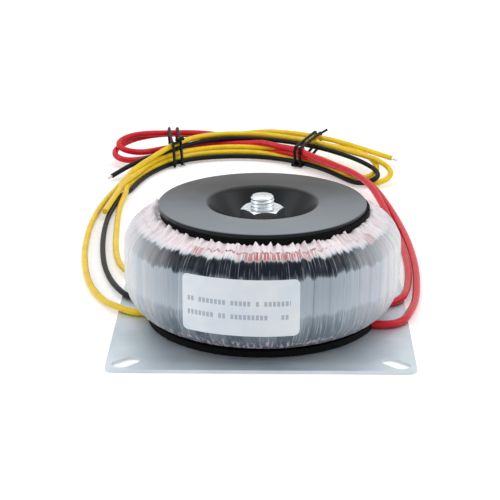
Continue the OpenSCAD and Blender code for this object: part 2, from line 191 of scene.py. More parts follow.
def settleLeads(strands, radii, pull):
    # the strands push each other apart for a set number of rounds, so that they lie in one another as little as can be,
    # and none sinks into plate or table
    start = np.concatenate(strands)
    point = start.copy()
    radius = np.concatenate([np.full(len(s), r) for s, r in zip(strands, radii)])
    owner = np.concatenate([np.full(len(s), i) for i, s in enumerate(strands)])
    index = np.concatenate([np.arange(len(s)) for s in strands])
    held = np.concatenate([np.arange(len(s)) < pull["heldPoints"] for s in strands])
    inner = np.concatenate([(np.arange(len(s)) > 0) & (np.arange(len(s)) < len(s) - 1) for s in strands])
    clear = np.concatenate([(np.arange(len(s)) > 1) & (np.arange(len(s)) < len(s) - 2) for s in strands])
    tightest = radius * pull["bend"]
    need = radius[:, None] + radius[None] + pull["gap"]
    along = np.abs(index[:, None] - index[None]) * sampleStep
    need[(owner[:, None] == owner[None]) & (along < 3.2 * radius[:, None])] = 0
    for turn in range(pull["rounds"]):
        between = point[:, None] - point[None]
        distance = np.linalg.norm(between, axis=2) + 1e-9
        short = np.clip(need - distance, 0, None)
        hits = (short > 0).sum(1)
        push = (between / distance[..., None] * short[..., None] * 0.5).sum(1) / np.maximum(hits, 1)[:, None]
        smooth = np.zeros_like(point)
        smooth[1:-1] = (point[:-2] + point[2:]) / 2 - point[1:-1]
        smooth[~inner] = 0
        # how far a point stands off the line between the points two steps before and after it gives the bend;
        # where it is tighter than the wire takes, it is drawn open
        span = np.zeros_like(point)
        span[2:-2] = (point[:-4] + point[4:]) / 2 - point[2:-2]
        span[~clear] = 0
        sag = np.linalg.norm(span, axis=1)
        tight = np.clip(sag - tightest * (1 - np.cos(2 * sampleStep / tightest)), 0, None)
        move = push * pull["push"] + smooth * pull["smooth"] + (start - point) * pull["home"]
        move += span / (sag[:, None] + 1e-9) * tight[:, None] * pull["open"]
        move[held] = 0
        point += move
        onPlate = (np.abs(point[:, 0]) < plateHalf + 0.5) & (np.abs(point[:, 1]) < plateHalf + 0.5)
        point[:, 2] = np.maximum(point[:, 2], radius + pull["lift"] + np.where(onPlate, plateTop, 0))
    print("leads settled, worst overlap left %.2f mm" % short.max())
    ends = np.cumsum([len(s) for s in strands])[:-1]
    return np.split(point, ends)


def newCurve(name, points, diameter, material, slot):
    # one open spline through points in millimetres
    data = bpy.data.curves.new(name, "CURVE")
    data.dimensions = "3D"
    data.bevel_depth = diameter / 2000
    data.bevel_resolution = 3
    data.use_fill_caps = True
    spline = data.splines.new("POLY")
    spline.points.add(len(points) - 1)
    for target, p in zip(spline.points, points):
        target.co = (p[0] / 1000, p[1] / 1000, p[2] / 1000, 1)
    spline.use_smooth = True
    data.materials.append(material)
    piece = bpy.data.objects.new(name, data)
    bpy.context.scene.collection.objects.link(piece)
    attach(piece, "root")
    return piece


# PVC wire covering, extruded: semi-gloss, the colour nearly even, faintly rough from the die
def wirePvc(name, hexColour, shade, roughness, sheen=0.3):
    material, tree, shader = newMaterial(name, {"Roughness": roughness, "IOR": 1.53, "Specular IOR Level": sheen})
    place = addNode(tree, "TexCoord")
    grain = addNode(tree, "TexNoise", {"Scale": 260.0, "Detail": 2.0}, {"Vector": place.outputs["Object"]})  # 4 mm
    tone = addNode(tree, "ValToRGB", {"stops": [(0.3, shade), (0.6, hexColour)]}, {"Fac": grain.outputs[0]})
    drag = addNode(tree, "TexNoise", {"Scale": 1600.0}, {"Vector": place.outputs["Object"]})  # 0.6 mm
    bump = addNode(tree, "Bump", {"Strength": 0.06, "Distance": 0.0001}, {"Height": drag.outputs[0]})
    tree.links.new(tone.outputs[0], shader.inputs["Base Color"])
    tree.links.new(bump.outputs[0], shader.inputs["Normal"])
    return material


# tinned copper: dull bright, mottled by the tin in specks of 0.3 mm
tinnedCopper, tree, shader = newMaterial("tinnedCopper", {"Metallic": 1.0, "Roughness": 0.3})
place = addNode(tree, "TexCoord")
scores = addNode(tree, "TexNoise", {"Scale": 3000.0}, {"Vector": place.outputs["Object"]})
tone = addNode(tree, "ValToRGB", {"stops": [(0.3, "#a9a7a2"), (0.7, "#dcdad6")]}, {"Fac": scores.outputs[0]})
tree.links.new(tone.outputs[0], shader.inputs["Base Color"])

yellowPvc = wirePvc("pvcYellow", "#f3d01d", "#e9c013", 0.34)
blackPvc = wirePvc("pvcBlack", "#0a0a0c", "#050506", 0.42, 0.14)
redPvc = wirePvc("pvcRed", "#d51a2b", "#c41728", 0.34, 0.24)
leadFinish = {"leadYellowOuter": (yellowPvc, "yellow_pvc"), "leadYellowInner": (yellowPvc, "yellow_pvc"),
              "leadBlack": (blackPvc, "black_pvc"), "leadRedFront": (redPvc, "red_pvc"),
              "leadRedRear": (redPvc, "red_pvc")}

settled = settleLeads([smoothRoute(leads[k]["points"], sampleStep) for k in leads],
                      [leads[k]["diameter"] / 2 for k in leads], settling)
for (name, lead), strand in zip(leads.items(), settled):
    lead["strand"] = strand
    newCurve(name, strand, lead["diameter"], *leadFinish[name])
    run = np.linalg.norm(np.diff(strand, axis=0), axis=1).sum()
    print(name, "%.0f mm long" % run, len(strand), "points")

# twist ties: iron wire in a black plastic skin, two turns round the strands, the ends twisted and folded down;
# angles in degrees, the rest in mm
ties = {
    "tieLeft": {"at": (-41.8, 200, 6), "heading": 9, "node": "twist_tie_left", "knot": 99, "lean": 20,
                "ends": 3.4, "apart": 3.8, "spurs": [(225, 2.4, "wire")]},  # angle round the turns, reach, kind
    "tieRight": {"at": (18, 194, 6), "heading": -25, "node": "twist_tie_right", "knot": 207, "lean": 165,
                 "ends": 2.6, "apart": 3.0, "spurs": [(54, 3.6, "plastic")]},
}
tieWire = 1.3
tieSides = 40  # points in each turn


def tieHull(centre, along, shift):
    # outline drawn tight round the strands, in the plane square to the bundle
    across = np.array([-along[1], along[0], 0])
    middle = centre + along * shift
    rounds = []
    for lead in leads.values():
        offset = (lead["strand"] - middle) @ along
        side = (lead["strand"] - middle) @ across
        for i in np.nonzero((np.abs(offset) < 2.4) & (np.abs(side) < 26))[0]:
            rounds.append((side[i], lead["strand"][i][2], lead["diameter"] / 2))
    outline = []
    for angle in np.linspace(0, 2 * math.pi, tieSides, endpoint=False):
        u = np.array([math.cos(angle), math.sin(angle)])
        best = max(rounds, key=lambda r: r[0] * u[0] + r[1] * u[1] + r[2])
        reach = best[2] + tieWire / 2 + 0.05
        outline.append((best[0] + u[0] * reach, max(best[1] + u[1] * reach, tieWire / 2 + 0.1)))
    return [middle * np.array([1, 1, 0]) + across * a + np.array([0, 0, b]) for a, b in outline]


# PVC skin of the tie: black, half matt, faintly uneven over the wire
tiePlastic, tree, shader = newMaterial("tiePlastic", {"Roughness": 0.42, "IOR": 1.5, "Specular IOR Level": 0.16})
place = addNode(tree, "TexCoord")
ribs = addNode(tree, "TexNoise", {"Scale": 900.0}, {"Vector": place.outputs["Object"]})
tone = addNode(tree, "ValToRGB", {"stops": [(0.3, "#040405"), (0.7, "#0d0e11")]}, {"Fac": ribs.outputs[0]})
bump = addNode(tree, "Bump", {"Strength": 0.2, "Distance": 0.0002}, {"Height": ribs.outputs[0]})
tree.links.new(tone.outputs[0], shader.inputs["Base Color"])
tree.links.new(bump.outputs[0], shader.inputs["Normal"])

for name, tie in ties.items():
    heading = math.radians(tie["heading"])
    along = np.array([math.cos(heading), math.sin(heading), 0])
    first = tieHull(np.array(tie["at"], float), along, -tie["apart"] / 2)
    second = tieHull(np.array(tie["at"], float), along, tie["apart"] / 2)
    begin = int(tie["knot"] * tieSides / 360)
    turnsPath = [first[(begin + i) % tieSides] + along * (0.25 * math.sin(i / tieSides * math.pi))
                 for i in range(tieSides + 1)]
    turnsPath = np.array(turnsPath + [second[(begin + i) % tieSides] for i in range(2, tieSides + 1)])
    knot = (turnsPath[0] + turnsPath[-1]) / 2
    rise = turnsPath[0] - turnsPath.mean(0)
    rise /= np.linalg.norm(rise)
    lean = math.radians(tie["lean"])
    outward = along * math.cos(lean) + np.cross(rise, along) * math.sin(lean) + rise * 0.35
    outward /= np.linalg.norm(outward)
    sideA = np.cross(outward, rise)
    sideA /= np.linalg.norm(sideA)
    sideB = np.cross(outward, sideA)
    turnsPath = smoothRoute(turnsPath, 0.8)
    turnsPath[:, 2] = np.maximum(turnsPath[:, 2], tieWire / 2 + 0.15)
    turns = newCurve(name, turnsPath, tieWire, tiePlastic, "tie_plastic")
    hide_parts(tie["node"])
    for letter, phase in (("A", 0), ("B", math.pi)):
        path = []
        for i in range(17):
            t = i / 16
            a = phase + t * 3.4 * math.pi
            path.append(knot + rise * (0.75 - 0.9 * t * t) + outward * (tie["ends"] * t)
                        + (sideA * math.cos(a) + sideB * math.sin(a)) * 0.5)
            path[-1][2] = max(path[-1][2], 1.0)
        twist = smoothRoute(path, 0.5)
        newCurve(name + "End" + letter, twist, tieWire * 0.8, tiePlastic, "tie_plastic")
    for angle, reach, kind in tie["spurs"]:
        # a cut end standing off the turns, in its skin or bared
        base = second[int(angle * tieSides / 360)]
        away = base - np.array(second).mean(0)
        away = away / np.linalg.norm(away) + along * 0.5
        bare = kind == "wire"
        path = [base + away * reach * t / 5 for t in range(6)]
        for p in path:
            p[2] = max(p[2], 0.8)
        newCurve(name + "Spur", path, 0.8 if bare else 1.1, tinnedCopper if bare else tiePlastic,
                                  "tinned_wire" if bare else "tie_plastic")

# bared strand ends, drawn together by the tinning
tips = {"leadYellowInner": {"long": 3.0, "thick": 1.1}, "leadBlack": {"long": 2.5, "thick": 1.0}}
for name, tip in tips.items():
    strand = leads[name]["strand"]
    heading = strand[-1] - strand[-2]
    heading /= np.linalg.norm(heading)
    path = [strand[-1] + heading * tip["long"] * t for t in np.linspace(-0.1, 1, 6)]
    newCurve(name + "Tip", path, tip["thick"], tinnedCopper, "tinned_wire")
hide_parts("lead_tips")

for name, lead in leads.items():
    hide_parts(*lead["nodes"])
print("leads and ties made")

# clear tape wound over the ring: the outline is spun, then each vertex is lifted for laps and gathers
tapeWrap = {
    "radius": 46.8, "hole": 20.7, "foot": 3.3, "top": 37.9,
    "topAcross": 13, "topDown": 10, "lowAcross": 11, "lowUp": 15, "holeRound": 5,
    "turns": 52, "stepsPerTurn": 12, "lap": 0.3, "gather": 0.6, "tips": 2.3, "creases": 0.35, "dents": 0.08,
    # where along the outline each of these starts, peaks and ends, in mm from the top shoulder
    "lapRun": (3, 15, 34, 46), "gatherRun": (0.8, 6, 15), "tipRun": (2.0, 2.9, 5.5), "creaseRun": (26, 36, 44),
    "dentRun": (6, 20, 40),
}


def wrapOutline(wrap):
    # closed outline of the wound ring, from its top shoulder outwards and down, as radius, height, run, normal
    def arc(cx, cz, rx, rz, start, end, steps):
        angles = np.radians(np.linspace(start, end, steps + 1))
        return [(cx + rx * math.cos(a), cz + rz * math.sin(a)) for a in angles]

    outer, hole, foot, top, bend = wrap["radius"], wrap["hole"], wrap["foot"], wrap["top"], wrap["holeRound"]
    parts = [
        arc(outer - wrap["topAcross"], top - wrap["topDown"], wrap["topAcross"], wrap["topDown"], 90, 0, 24),
        [(outer, z) for z in np.linspace(top - wrap["topDown"], foot + wrap["lowUp"], 9)],
        arc(outer - wrap["lowAcross"], foot + wrap["lowUp"], wrap["lowAcross"], wrap["lowUp"], 0, -90, 24),
        [(r, foot) for r in np.linspace(outer - wrap["lowAcross"], hole + bend, 4)],
        arc(hole + bend, foot + bend, bend, bend, 270, 180, 4),
        [(hole, z) for z in np.linspace(foot + bend, top - bend, 6)],
        arc(hole + bend, top - bend, bend, bend, 180, 90, 4),
        [(r, top) for r in np.linspace(hole + bend, outer - wrap["topAcross"], 4)],
    ]
    points = []
    for part in parts:
        for p in part:
            if not points or math.dist(p, points[-1]) > 0.01:
                points.append(p)
    points.pop()
    points = np.array(points)
    ahead, behind = np.roll(points, -1, axis=0), np.roll(points, 1, axis=0)
    run = np.concatenate([[0], np.cumsum(np.linalg.norm(ahead - points, axis=1))])
    tangent = ahead - behind
    normal = np.stack([-tangent[:, 1], tangent[:, 0]], axis=1) / np.linalg.norm(tangent, axis=1)[:, None]
    return points, run, normal


def bulge(value, start, peak, end):
    # 0 outside start and end, 1 at the peak, smooth between
    if value <= start or value >= end:
        return 0
    t = (value - start) / (peak - start) if value < peak else (end - value) / (end - peak)
    return t * t * (3 - 2 * t)


def ringNoise(angle, around, height, seed):
    # noise that closes on itself round the ring; around is the size of its lumps in mm at the rim
    reach = tapeWrap["radius"] / around
    return noise.noise(Vector((math.cos(angle) * reach, math.sin(angle) * reach, height + seed)))


def tapeLift(angle, run):
    # how far a point of the wrap stands off the plain ring, how far it is drawn up, and how much it is a crest
    wrap = tapeWrap
    turn = (angle / (2 * math.pi)) * wrap["turns"] + 0.12 * (run - 22) / 22  # the turns lean a little
    phase = turn - math.floor(turn)
    rise, full, fall, end = wrap["lapRun"]
    onSide = bulge(run, rise, full, 24) if run < full else (1 if run < fall else bulge(run, full, fall, end))
    step = wrap["lap"] * (phase / 0.1 if phase < 0.1 else 1 - (phase - 0.1) / 0.9) * onSide
    gather = pleat = tip = crease = dent = 0
    if run < wrap["gatherRun"][2]:
        pleat = 1 - 2.4 * abs(ringNoise(angle, 1.7, run * 0.04, 3.1))
        pleat -= 0.5 * abs(ringNoise(angle, 0.9, run * 0.05, 8.4))
        gather = wrap["gather"] * pleat * bulge(run, *wrap["gatherRun"])
        tip = max(0, 0.4 + 1.3 * ringNoise(angle, 1.5, 0.4, 5.7)) * wrap["tips"] * bulge(run, *wrap["tipRun"])
    creased, dented = bulge(run, *wrap["creaseRun"]), bulge(run, *wrap["dentRun"])
    if creased:
        crease = wrap["creases"] * (1 - 2.6 * abs(ringNoise(angle, 1.9, run * 0.12, 12.5))) * creased
    if dented:
        dent = wrap["dents"] * (1 + ringNoise(angle, 7, run * 0.05, 21.3)) * dented
    return step + gather + crease + dent, tip, max(0, pleat)


outline, runs, normals = wrapOutline(tapeWrap)
bm = bmesh.new()
station = bm.verts.layers.int.new("station")
ring = [bm.verts.new((r / 1000, 0, z / 1000)) for r, z in outline]
for i, vert in enumerate(ring):
    vert[station] = i
edges = [bm.edges.new((ring[i], ring[(i + 1) % len(ring)])) for i in range(len(ring))]
spinSteps = tapeWrap["turns"] * tapeWrap["stepsPerTurn"]
bmesh.ops.spin(bm, geom=ring + edges, cent=(0, 0, 0), axis=(0, 0, 1), angle=2 * math.pi, steps=spinSteps,
               use_merge=True)
bmesh.ops.remove_doubles(bm, verts=bm.verts, dist=1e-6)
bmesh.ops.recalc_face_normals(bm, faces=bm.faces)
uvLayer = bm.loops.layers.uv.new("tapeRun")
girth = 2 * math.pi * tapeWrap["radius"]
for face in bm.faces:
    around = [math.atan2(loop.vert.co.y, loop.vert.co.x) / (2 * math.pi) * girth for loop in face.loops]
    along = [runs[loop.vert[station]] for loop in face.loops]
    if max(around) - min(around) > girth / 2:
        around = [a + girth if a < 0 else a for a in around]
    if max(along) - min(along) > runs[-1] / 2:
        along = [a + runs[-1] if a < runs[-1] / 2 else a for a in along]
    for loop, a, b in zip(face.loops, around, along):
        loop[uvLayer].uv = (a / 10, b / 10)  # one unit is 10 mm of tape
    face.smooth = True
crest = bm.verts.layers.float.new("crest")
for vert in bm.verts:
    i = vert[station]
    angle = math.atan2(vert.co.y, vert.co.x)
    lift, tip, pleat = tapeLift(angle, runs[i])
    out = normals[i][0] * lift
    vert.co += Vector((math.cos(angle) * out, math.sin(angle) * out, normals[i][1] * lift + tip)) / 1000
    vert[crest] = pleat

# clear polyester tape in many turns over enamelled copper: glossy, silvery grey where the turns lie flat,
# pink and white where they gather, near black in a band along the shoulder, with painted shade down the lower curve and
# a painted milky reflection at the left and right ends
tapeFilm, tree, shader = newMaterial("polyesterTapeOverCopper", {"IOR": 1.58, "Specular IOR Level": 0.14})
place = addNode(tree, "TexCoord")
onTape = addNode(tree, "SeparateXYZ", links={"Vector": place.outputs["UV"]})
inSpace = addNode(tree, "SeparateXYZ", links={"Vector": place.outputs["Object"]})
values = {"u": onTape.outputs[0], "v": onTape.outputs[1], "x": inSpace.outputs[0],  # u and v in units of 10 mm
          "crest": addNode(tree, "Attribute", {"attribute_name": "crest"}).outputs["Fac"]}

tapePatterns = {  # lumps in mm round the ring and along the tape, detail, and where each one starts
    "ragged": (2.6, 60, 2.0, 0.0), "frayed": (0.8, 30, 3.0, 4.2),  # edges of the bands of colour
    "patch": (22, 80, 1.0, 9.1), "streak": (0.55, 14, 3.0, 1.7), "bare": (13, 60, 1.0, 3.3),
    "stroke": (0.7, 20, 2.0, 6.6), "dash": (1.3, 30, 2.0, 2.9), "fleck": (1.2, 3, 3.0, 7.7),
    "sideEdge": (1.6, 40, 2.0, 8.8), "sideReflectionCloud": (4, 60, 1.0, 6.1), "polish": (3, 12, 2.0, 5.1)}
for name, (aroundMm, alongMm, detail, shift) in tapePatterns.items():
    stretch = addNode(tree, "Mapping", {"Location": (shift, shift * 0.7, 0), "Scale": (10 / aroundMm, 10 / alongMm, 1)},
                      {"Vector": place.outputs["UV"]})
    values[name] = addNode(tree, "TexNoise", {"Scale": 1.0, "Detail": detail}, {"Vector": stretch})

tapeMeasures = [  # name, operation, inputs
    ("raggedRun", "MULTIPLY_ADD", "ragged", 0.42, "v"), ("ownRun", "MULTIPLY_ADD", "frayed", 0.22, "raggedRun"),
    ("run", "MULTIPLY_ADD", "ownRun", 1 / 6, -0.32 / 6),  # 0 at the top shoulder, 1 after 60 mm of tape
    ("frontOffset", "MULTIPLY_ADD", "u", 0.1, 0.73), ("fromFront", "ABSOLUTE", "frontOffset"),  # the front is at u -7.4
    ("bareOffset", "MULTIPLY_ADD", "u", 0.1, 0.69), ("fromBare", "ABSOLUTE", "bareOffset"),  # the widest bare patch
    ("slant", "MULTIPLY_ADD", "v", 0.0545, -0.12),
    ("turn", "MULTIPLY_ADD", "u", tapeWrap["turns"] / (girth / 10), "slant"),
    ("turnPart", "FRACT", "turn"), ("turnNumber", "FLOOR", "turn"),
    ("aside", "ABSOLUTE", "x"), ("asideEdge", "MULTIPLY", "sideEdge", 0.16),
    ("sideways", "MULTIPLY_ADD", "aside", 21.0, "asideEdge")]
for name, operation, *inputs in tapeMeasures:
    values[name] = addNode(tree, "Math", {"operation": operation},
                           {i: values[value] if isinstance(value, str) else value for i, value in enumerate(inputs)})
values["turnTone"] = addNode(tree, "TexWhiteNoise", {"noise_dimensions": "1D"}, {"W": values["turnNumber"]})

tapeMasks = {  # value that is read, and its ramp
    "patched": ("patch", [(0.42, 0.15), (0.58, 1.0)]),
    "awayFromFront": ("fromFront", [(0.26, 0.0), (0.5, 1.0)]),
    "nearFront": ("fromFront", [(0.2, 1.0), (0.3, 0.0)]),
    "barePatch": ("bare", [(0.52, 0.0), (0.58, 0.8)]),
    "nearBare": ("fromBare", [(0.1, 1.0), (0.14, 0.0)]),
    "bandReach": ("run", [(0.14, 0.0), (0.17, 1.0), (0.25, 1.0), (0.28, 0.0)]),
    "streakReach": ("run", [
        (0.1, 0.2), (0.16, 0.6), (0.22, 0.4), (0.26, 0.3), (0.29, 0.14), (0.46, 0.2), (0.52, 0.55),
        (0.7, 0.55)]),
    "paleStreak": ("streak", [(0.58, 0.0), (0.68, 1.0)]),
    "darkStreak": ("streak", [(0.3, 0.8), (0.42, 0.0)]),
    "strokeReach": ("run", [(0.1, 0.0), (0.115, 1.0), (0.15, 1.0), (0.165, 0.0)]),
    "strokes": ("stroke", [(0.44, 0.0), (0.5, 1.0)]),
    "dashReach": ("run", [(0.096, 0.0), (0.102, 1.0), (0.108, 1.0), (0.114, 0.0)]),
    "dashes": ("dash", [(0.42, 0.0), (0.48, 1.0)]),
    "gatherReach": ("run", [(0.0, 1.0), (0.09, 0.8), (0.16, 0.0)]),
    "valleys": ("crest", [(0.2, 0.6), (0.5, 0.0)]),
    "crests": ("crest", [(0.75, 0.0), (0.95, 0.8)]),
    "sideReach": ("run", [(0.24, 0.0), (0.28, 1.0), (0.6, 1.0), (0.7, 0.3)]),
    "edgeLine": ("turnPart", [(0.0, 1.0), (0.05, 0.0)]),
    "darkTurns": ("turnTone", [(0.4, 0.9), (0.5, 0.0)]),
    "paleTurns": ("turnTone", [(0.5, 0.0), (0.6, 0.8)]),
    "fleckReach": ("run", [(0.62, 0.0), (0.66, 1.0), (0.72, 1.0), (0.76, 0.0)]),
    "flecks": ("fleck", [(0.5, 0.0), (0.6, 0.8)]),
    # painted reflection: the film is painted milky white towards the left and right ends of the ring, where it is seen
    # at a glancing angle
    "paintedSideReflection": ("sideways", [(0.66, 0.0), (0.88, 0.45), (1.02, 0.92)]),
    "sideReflectionTone": ("sideReflectionCloud", [(0.3, "#d3dde6"), (0.5, "#e9e4ea"), (0.7, "#e2e9e6")]),
    "roughness": ("polish", [(0.3, 0.2), (0.7, 0.38)]),
    # painted shade: down the lower curve, from 0.47 on, the tape is painted darker, darkest where it turns under the
    # ring at 0.8
    "bands": ("run", [
        (0.0, "#fffbfd"), (0.06, "#fff6f9"), (0.115, "#fceef2"), (0.135, "#faf3f6"), (0.155, "#d8dee4"),
        (0.168, "#2c3946"), (0.178, "#020a18"), (0.25, "#051226"), (0.262, "#354250"), (0.275, "#a3afbc"),
        (0.36, "#a7b3bf"), (0.47, "#b1bdc8"), (0.492, "#8a97a3"), (0.56, "#64717d"), (0.65, "#5c6872"),
        (0.72, "#6f777f"), (0.8, "#3a3f46")]),
}
for name, (value, stops) in tapeMasks.items():
    values[name] = addNode(tree, "ValToRGB", {"stops": stops}, {"Fac": values[value]})
tapePatches = [
    ("bandPatch", "MULTIPLY", "patched", "awayFromFront"), ("halfPatch", "MULTIPLY", "bandPatch", 0.5),
    ("dashPatch", "MAXIMUM", "halfPatch", "nearFront"), ("openPatch", "MAXIMUM", "barePatch", "nearBare")]
for name, operation, *inputs in tapePatches:
    values[name] = addNode(tree, "Math", {"operation": operation},
                           {i: values[value] if isinstance(value, str) else value for i, value in enumerate(inputs)})

tapeLayers = [  # colour, how strong, and the masks that bound it
    ("#8d99a6", 0.75, ["bandReach", "bandPatch"]),  # the dark band breaks up, so each side shows some silver
    ("#d3dae2", 1.0, ["paleStreak", "streakReach"]), ("#4a5663", 1.0, ["darkStreak", "streakReach"]),  # along the tape
    ("#b5443d", 0.85, ["strokes", "openPatch", "strokeReach"]),  # copper between the gathers
    ("#7d262b", 0.85, ["dashes", "dashPatch", "dashReach"]),  # copper where the outer turns end
    ("#dcc5ce", 1.0, ["gatherReach", "valleys"]), ("#fbf6f7", 1.0, ["gatherReach", "crests"]),  # the gathers
    ("#4f5c6a", 1.0, ["edgeLine", "sideReach", "darkTurns"]),
    ("#e4eaf0", 1.0, ["edgeLine", "sideReach", "paleTurns"]),  # the edge of each turn, dark or pale
    ("#cfd8e1", 0.28, ["sideReach", "turnTone"]),  # each turn has its own tone
    ("#e3cdd0", 1.0, ["fleckReach", "flecks"]),  # copper along the bottom edge
    (values["sideReflectionTone"], 1.0, ["paintedSideReflection"])]  # painted reflection: towards its two ends, left and right, the ring is painted milky white
tapeColour = values["bands"]
for colour, strong, masks in tapeLayers:
    mask = strong
    for name in masks:
        mask = addNode(tree, "Math", {"operation": "MULTIPLY"}, {0: values[name], 1: mask})
    tapeColour = addNode(tree, "Mix", {"data_type": "RGBA"}, {0: mask, 6: tapeColour, 7: colour})
tree.links.new(tapeColour.outputs[2], shader.inputs["Base Color"])
tree.links.new(values["roughness"].outputs[0], shader.inputs["Roughness"])
bump = addNode(tree, "Bump", {"Strength": 0.25, "Distance": 0.0003}, {"Height": values["streak"]})
tree.links.new(bump.outputs[0], shader.inputs["Normal"])

wrapPiece = newPiece("tapeWrap", bm, tapeFilm)
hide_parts("outer_wrap")
print("tape wrap made:", len(wrapPiece.data.polygons), "faces")

# zinc-plated steel sheet: blue-white satin, rolled grain along X, clouded by handling
zincSheet, tree, shader = newMaterial("zincPlatedSheet", {"Metallic": 0.8, "Specular IOR Level": 0.5})
place = addNode(tree, "TexCoord")
rolled = addNode(tree, "Mapping", {"Scale": (60.0, 1400.0, 1400.0)}, {"Vector": place.outputs["Object"]})
grain = addNode(tree, "TexNoise", {"Scale": 1.0, "Detail": 3.0}, {"Vector": rolled.outputs[0]})  # 0.7 mm lines
cloud = addNode(tree, "TexNoise", {"Scale": 55.0, "Detail": 3.0}, {"Vector": place.outputs["Object"]})  # 18 mm
tone = addNode(tree, "ValToRGB", {"stops": [(0.35, "#c3ced6"), (0.65, "#d3dce2")]}, {"Fac": cloud.outputs[0]})
fine = addNode(tree, "ValToRGB", {"stops": [(0.3, 0.46), (0.7, 0.58)]}, {"Fac": grain.outputs[0]})
bump = addNode(tree, "Bump", {"Strength": 0.08, "Distance": 0.0001}, {"Height": grain.outputs[0]})
tree.links.new(tone.outputs[0], shader.inputs["Base Color"])
tree.links.new(fine.outputs[0], shader.inputs["Roughness"])
tree.links.new(bump.outputs[0], shader.inputs["Normal"])

# bright zinc on turned and headed steel: cold white, small dull freckles
zincFastener, tree, shader = newMaterial("zincFastener", {"Metallic": 1.0})
place = addNode(tree, "TexCoord")
freckle = addNode(tree, "TexNoise", {"Scale": 1100.0, "Detail": 3.0}, {"Vector": place.outputs["Object"]})  # 0.9 mm
tone = addNode(tree, "ValToRGB", {"stops": [(0.3, "#c3c9cd"), (0.6, "#e1e6ea")]}, {"Fac": freckle.outputs[0]})
fine = addNode(tree, "ValToRGB", {"stops": [(0.35, 0.36), (0.65, 0.28)]}, {"Fac": freckle.outputs[0]})
tree.links.new(tone.outputs[0], shader.inputs["Base Color"])
tree.links.new(fine.outputs[0], shader.inputs["Roughness"])

# moulded neoprene: black, matt, with a faint dusty bloom
neoprene, tree, shader = newMaterial("neoprene", {"Roughness": 0.8, "Specular IOR Level": 0.12})
place = addNode(tree, "TexCoord")
dust = addNode(tree, "TexNoise", {"Scale": 700.0, "Detail": 4.0}, {"Vector": place.outputs["Object"]})  # 1.4 mm
tone = addNode(tree, "ValToRGB", {"stops": [(0.35, "#020203"), (0.8, "#0b0b0d")]}, {"Fac": dust.outputs[0]})
bump = addNode(tree, "Bump", {"Strength": 0.3, "Distance": 0.0002}, {"Height": dust.outputs[0]})
tree.links.new(tone.outputs[0], shader.inputs["Base Color"])
tree.links.new(bump.outputs[0], shader.inputs["Normal"])

# satin black paint on pressed steel: black in the recess and on its edge; on the flat a painted reflection greys it,
# fading towards the back; fine orange peel
satinBlack, tree, shader = newMaterial("satinBlackPaint", {"IOR": 1.5, "Specular IOR Level": 0.2})
place = addNode(tree, "TexCoord")
split = addNode(tree, "SeparateXYZ", links={"Vector": place.outputs["Object"]})
peel = addNode(tree, "TexNoise", {"Scale": 1300.0, "Detail": 2.0}, {"Vector": place.outputs["Object"]})  # 0.8 mm
blotch = addNode(tree, "TexNoise", {"Scale": 40.0, "Detail": 3.0}, {"Vector": place.outputs["Object"]})  # 25 mm
backward = addNode(tree, "Math", {"operation": "MULTIPLY_ADD"}, {0: split.outputs[1], 1: 11.0, 2: 0.4})  # 90 mm is 1
backward = addNode(tree, "Math", {"operation": "MULTIPLY_ADD"}, {0: blotch, 1: 0.2, 2: backward})
# painted reflection on the top flat: grey at the front, fading to black at the back, broken up in blotches of 25 mm
flatReflection = addNode(tree, "ValToRGB", {"stops": [(0.1, "#8b9198"), (0.42, "#6c7279"), (0.6, "#3b3e43"), (0.72, "#0e0e0f")]},
               {"Fac": backward})
level = addNode(tree, "Math", {"operation": "MULTIPLY_ADD"}, {0: split.outputs[2], 1: 700.0, 2: -28.14})  # 0 at 40.2 mm
onFlat = addNode(tree, "ValToRGB", {"stops": [(0.8, 0.0), (1.0, 1.0)]}, {"Fac": level})
paintAndReflection = addNode(tree, "Mix", {"data_type": "RGBA"}, {0: onFlat, 6: "#0f1317", 7: flatReflection})
sheen = addNode(tree, "ValToRGB", {"stops": [(0.3, 0.3), (0.7, 0.38)]}, {"Fac": blotch.outputs[0]})
bump = addNode(tree, "Bump", {"Strength": 0.06, "Distance": 0.0001}, {"Height": peel.outputs[0]})
tree.links.new(paintAndReflection.outputs[2], shader.inputs["Base Color"])
tree.links.new(sheen.outputs[0], shader.inputs["Roughness"])
tree.links.new(bump.outputs[0], shader.inputs["Normal"])

# pressed dish: the same sheet as the solid, with its bends drawn finely, in mm
dish = {"rim": 35.25, "sheet": 1.5, "top": 41.7, "brim": 17.5, "floor": 12.0, "depth": 8.4, "bend": 2.5, "edge": 0.4,
        "hole": 4.3}


def dishOutline(d):
    run, drop = d["brim"] - d["bend"] * 0.35 - d["floor"], d["depth"] - d["bend"]
    slope = math.atan2(drop, run)
    cx, cz = d["brim"] + d["bend"], d["top"] - d["bend"]
    bend = [(cx + d["bend"] * math.cos(a), cz + d["bend"] * math.sin(a))
            for a in np.linspace(math.pi / 2 + slope, math.pi / 2, 12)]
    corner = [(d["rim"] - d["edge"] + d["edge"] * math.sin(a), d["top"] - d["edge"] + d["edge"] * math.cos(a))
              for a in np.linspace(0, math.pi / 2, 6)]
    sheet = d["sheet"]
    floorTop = d["top"] - d["depth"]
    foot = [(d["floor"] + 0.5, floorTop + 0.45), (d["floor"] - 0.6, floorTop)]
    under = [(d["rim"], d["top"] - sheet), (cx, d["top"] - sheet), (d["brim"] + sheet * 0.55, d["top"] - 2 * sheet),
             (d["floor"] + sheet * 0.55, floorTop - sheet), (d["hole"], floorTop - sheet)]
    return [(d["hole"], floorTop)] + foot[::-1] + bend + corner + under


